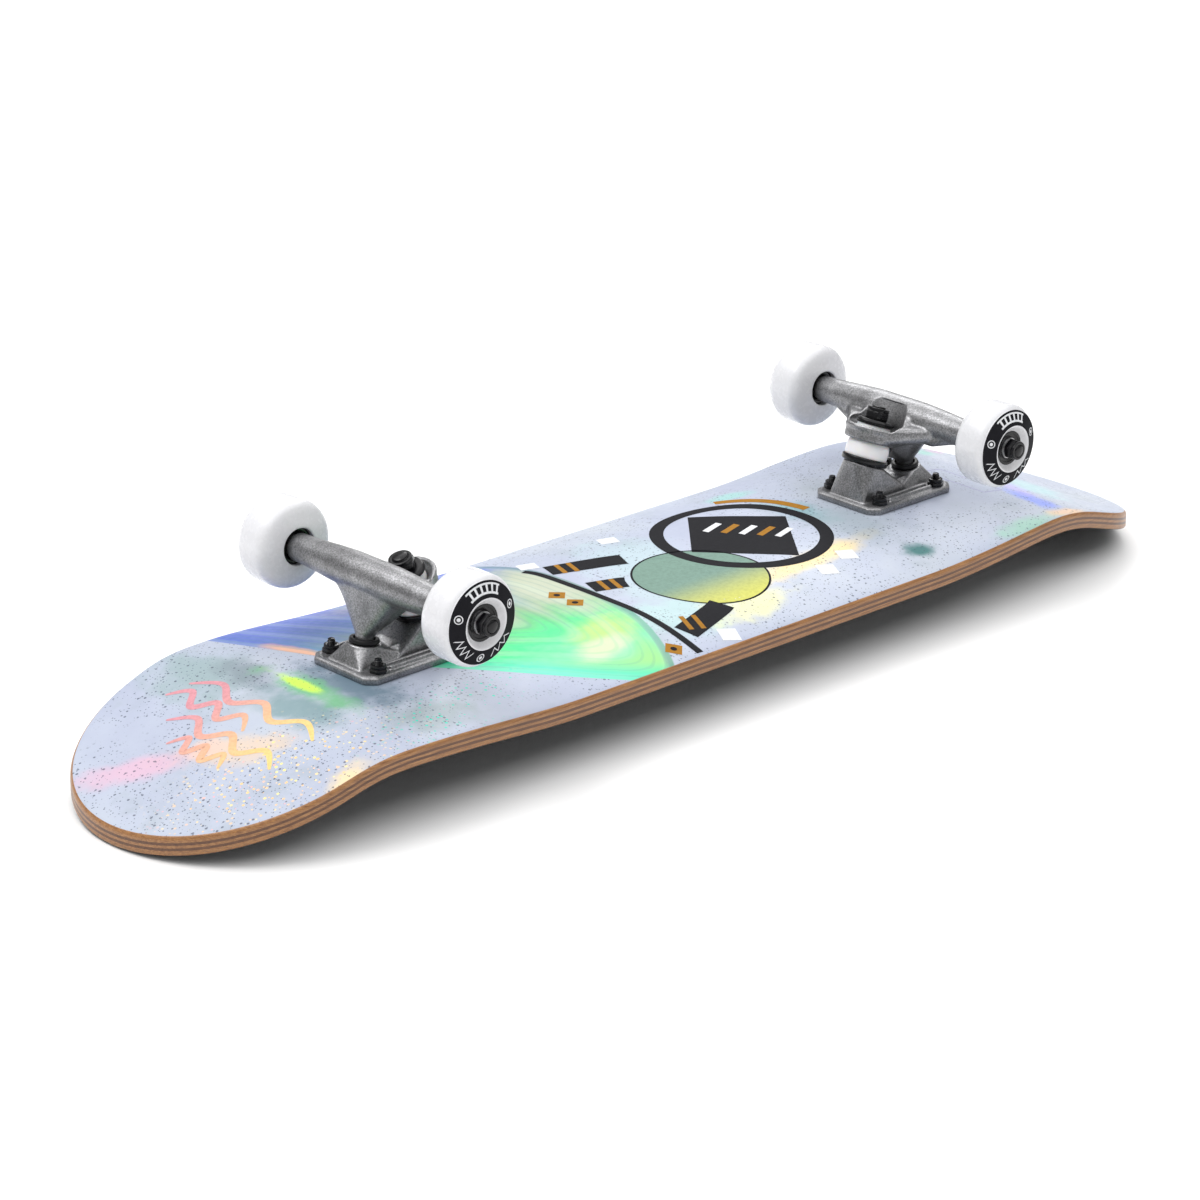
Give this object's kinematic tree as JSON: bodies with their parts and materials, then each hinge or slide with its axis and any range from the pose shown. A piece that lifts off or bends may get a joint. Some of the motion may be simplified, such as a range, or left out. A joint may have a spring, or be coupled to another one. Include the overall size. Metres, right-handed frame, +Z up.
{
  "type": "skateboard",
  "caption": "Complete skateboard lying deck down: layered maple deck with kicked nose and tail, printed underside, kingpin trucks and white urethane wheels on bearings.",
  "frame": {"origin": "on the floor, under the middle of the board's box, as it lies deck down on its nose and tail tips with the wheels up", "axes": "+X along the deck from tail to nose, +Y across the deck, +Z up out of the printed face towards the wheels; turned 180 degrees about X it stands on its wheels. Left is the -Y side."},
  "size_m": [0.8169, 0.2032, 0.1329],
  "materials": {
    "graphic_film": "semi-gloss iridescent printed film",
    "maple": "satin maple veneer",
    "maple_dark": "dyed maple veneer",
    "grip_tape": "black abrasive grit",
    "cast_aluminium": "raw tumbled casting",
    "black_steel": "black oxide, semi-gloss",
    "black_rubber": "satin urethane",
    "white_bushing": "satin white urethane",
    "wheel_urethane": "gloss white urethane",
    "steel": "bright steel"
  },
  "bodies": {
    "deck": {"graphic_film": "graphic_film", "deck_ply_1": "maple", "deck_ply_2": "maple", "deck_ply_3": "maple_dark", "deck_ply_4": "maple", "deck_ply_5": "maple_dark", "deck_ply_6": "maple", "deck_ply_7": "maple", "grip_tape": "grip_tape", "nose_baseplate": "cast_aluminium", "nose_pivot_cup": "black_rubber", "nose_kingpin": "black_steel", "nose_bottom_washer": "black_steel", "nose_bottom_bushing": "white_bushing", "nose_top_bushing": "white_bushing", "nose_top_washer": "black_steel", "nose_kingpin_nut": "black_steel", "nose_mounting_bolts": "black_steel", "nose_mounting_nuts": "black_steel", "tail_baseplate": "cast_aluminium", "tail_pivot_cup": "black_rubber", "tail_kingpin": "black_steel", "tail_bottom_washer": "black_steel", "tail_bottom_bushing": "white_bushing", "tail_top_bushing": "white_bushing", "tail_top_washer": "black_steel", "tail_kingpin_nut": "black_steel", "tail_mounting_bolts": "black_steel", "tail_mounting_nuts": "black_steel"},
    "nose_left_wheel": {"nose_left_wheel": "wheel_urethane", "nose_left_outer_races": "black_steel"},
    "nose_left_balls": {"nose_left_bearing_balls": "steel"},
    "nose_right_wheel": {"nose_right_wheel": "wheel_urethane", "nose_right_outer_races": "black_steel"},
    "nose_right_balls": {"nose_right_bearing_balls": "steel"},
    "nose_truck": {"nose_hanger": "cast_aluminium", "nose_axle": "steel", "nose_speed_washers": "steel", "nose_left_inner_races": "steel", "nose_left_bearing_spacer": "steel", "nose_left_axle_nut": "black_steel", "nose_right_inner_races": "steel", "nose_right_bearing_spacer": "steel", "nose_right_axle_nut": "black_steel"},
    "tail_left_wheel": {"tail_left_wheel": "wheel_urethane", "tail_left_outer_races": "black_steel"},
    "tail_left_balls": {"tail_left_bearing_balls": "steel"},
    "tail_right_wheel": {"tail_right_wheel": "wheel_urethane", "tail_right_outer_races": "black_steel"},
    "tail_right_balls": {"tail_right_bearing_balls": "steel"},
    "tail_truck": {"tail_hanger": "cast_aluminium", "tail_axle": "steel", "tail_speed_washers": "steel", "tail_left_inner_races": "steel", "tail_left_bearing_spacer": "steel", "tail_left_axle_nut": "black_steel", "tail_right_inner_races": "steel", "tail_right_bearing_spacer": "steel", "tail_right_axle_nut": "black_steel"}
  },
  "joints": [
    {"name": "nose_truck_steer", "type": "hinge", "parent": "deck", "child": "nose_truck", "pos_m": [0.2349, 0, 0.06568], "axis": [-0.7693, 0, 0.6389], "range_deg": [-15, 15], "stiffness_Nm_per_rad": 40, "deforming": ["nose_bottom_bushing", "nose_top_bushing"]},
    {"name": "nose_left_wheel_spin", "type": "hinge", "parent": "nose_truck", "child": "nose_left_wheel", "pos_m": [0.2269, -0.081, 0.10588], "axis": [0, 1, 0], "continuous": true},
    {"name": "nose_left_ball_orbit", "type": "hinge", "parent": "nose_truck", "child": "nose_left_balls", "pos_m": [0.2269, -0.081, 0.10588], "axis": [0, 1, 0], "continuous": true},
    {"name": "nose_right_wheel_spin", "type": "hinge", "parent": "nose_truck", "child": "nose_right_wheel", "pos_m": [0.2269, 0.081, 0.10588], "axis": [0, 1, 0], "continuous": true},
    {"name": "nose_right_ball_orbit", "type": "hinge", "parent": "nose_truck", "child": "nose_right_balls", "pos_m": [0.2269, 0.081, 0.10588], "axis": [0, 1, 0], "continuous": true},
    {"name": "tail_truck_steer", "type": "hinge", "parent": "deck", "child": "tail_truck", "pos_m": [-0.2239, 0, 0.06568], "axis": [0.7693, 0, 0.6389], "range_deg": [-15, 15], "stiffness_Nm_per_rad": 40, "deforming": ["tail_bottom_bushing", "tail_top_bushing"]},
    {"name": "tail_left_wheel_spin", "type": "hinge", "parent": "tail_truck", "child": "tail_left_wheel", "pos_m": [-0.2159, -0.081, 0.10588], "axis": [0, 1, 0], "continuous": true},
    {"name": "tail_left_ball_orbit", "type": "hinge", "parent": "tail_truck", "child": "tail_left_balls", "pos_m": [-0.2159, -0.081, 0.10588], "axis": [0, 1, 0], "continuous": true},
    {"name": "tail_right_wheel_spin", "type": "hinge", "parent": "tail_truck", "child": "tail_right_wheel", "pos_m": [-0.2159, 0.081, 0.10588], "axis": [0, 1, 0], "continuous": true},
    {"name": "tail_right_ball_orbit", "type": "hinge", "parent": "tail_truck", "child": "tail_right_balls", "pos_m": [-0.2159, 0.081, 0.10588], "axis": [0, 1, 0], "continuous": true}
  ],
  "couplings": [
    {"joint": "nose_left_ball_orbit", "follows": "nose_left_wheel_spin", "ratio": 0.6286},
    {"joint": "nose_right_ball_orbit", "follows": "nose_right_wheel_spin", "ratio": 0.6286},
    {"joint": "tail_left_ball_orbit", "follows": "tail_left_wheel_spin", "ratio": 0.6286},
    {"joint": "tail_right_ball_orbit", "follows": "tail_right_wheel_spin", "ratio": 0.6286}
  ]
}
